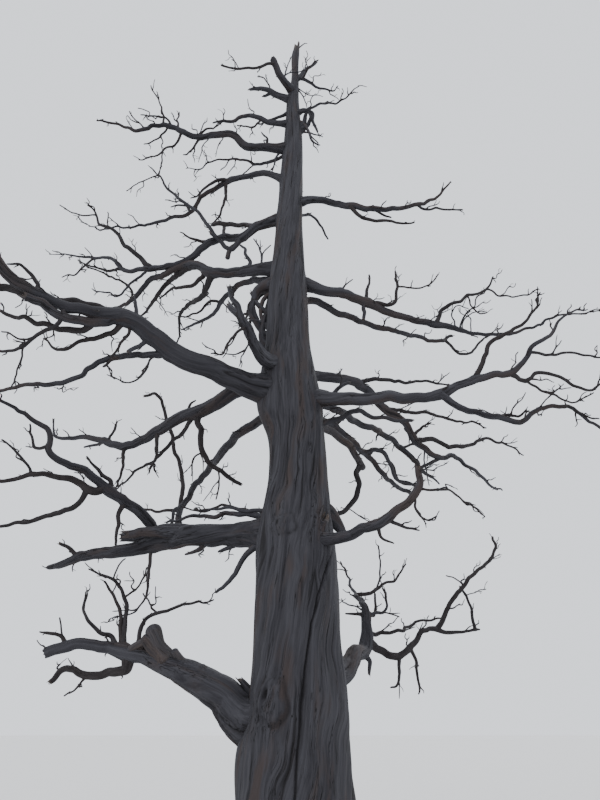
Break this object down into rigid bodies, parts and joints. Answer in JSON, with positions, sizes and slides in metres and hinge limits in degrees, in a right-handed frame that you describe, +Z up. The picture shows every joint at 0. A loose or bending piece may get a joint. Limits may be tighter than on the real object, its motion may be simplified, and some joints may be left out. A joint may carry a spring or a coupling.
{
  "type": "dead tree",
  "caption": "Tall dead standing tree without bark or leaves: a stout tapering trunk with root flare, crooked bare boughs on all sides and brittle twigs.",
  "frame": {"origin": "centre of the trunk's flat cut at ground level", "axes": "+Z up along the trunk, -Y towards the side the picture shows, +X to the viewer's right"},
  "size_m": [11.1143, 6.3018, 14.65],
  "materials": {
    "weathered_wood": "bare, silver-grey and purple-brown, long spiral grain with cracks, knots and traces of lichen",
    "twigs": "matt dark grey-brown dead twigs"
  },
  "bodies": {
    "root": {"arched_left_twigs": "twigs", "back_crown_twigs": "twigs", "back_high_twigs": "twigs", "back_left_high": "weathered_wood", "back_left_high_twigs": "twigs", "back_low_twigs": "twigs", "back_upper_twigs": "twigs", "broken_left": "weathered_wood", "broken_left_twigs": "twigs", "broken_prong": "weathered_wood", "broken_prong_twigs": "twigs", "crossing_left_twigs": "twigs", "crown_left_twigs": "twigs", "crown_right_twigs": "twigs", "drooping_right": "weathered_wood", "drooping_right_twigs": "twigs", "drooping_stub": "weathered_wood", "great_left": "weathered_wood", "great_left_twigs": "twigs", "hanging_left_twigs": "twigs", "high_right": "weathered_wood", "high_right_twigs": "twigs", "high_right_under": "weathered_wood", "high_right_under_twigs": "twigs", "hook_right": "weathered_wood", "knuckled_left": "weathered_wood", "knuckled_left_twigs": "twigs", "level_left": "weathered_wood", "level_left_twigs": "twigs", "long_left_twigs": "twigs", "loop_left_twigs": "twigs", "low_left": "weathered_wood", "low_left_twigs": "twigs", "low_right": "weathered_wood", "low_right_twigs": "twigs", "lower_right": "weathered_wood", "lower_right_back_twigs": "twigs", "lower_right_twigs": "twigs", "main_right": "weathered_wood", "main_right_low_twigs": "twigs", "main_right_twigs": "twigs", "mid_right": "weathered_wood", "mid_right_twigs": "twigs", "prong_left_twigs": "twigs", "rising_left_twigs": "twigs", "rising_right": "weathered_wood", "rising_right_twigs": "twigs", "rotten_left_twigs": "twigs", "rotten_right_twigs": "twigs", "sagging_left": "weathered_wood", "sagging_left_twigs": "twigs", "slender_left_twigs": "twigs", "spire_right_twigs": "twigs", "straight_back_left": "weathered_wood", "straight_back_left_twigs": "twigs", "thin_left_twigs": "twigs", "trunk": "weathered_wood", "under_left_twigs": "twigs", "upper_left_twigs": "twigs", "upper_right_twigs": "twigs"}
  },
  "joints": []
}
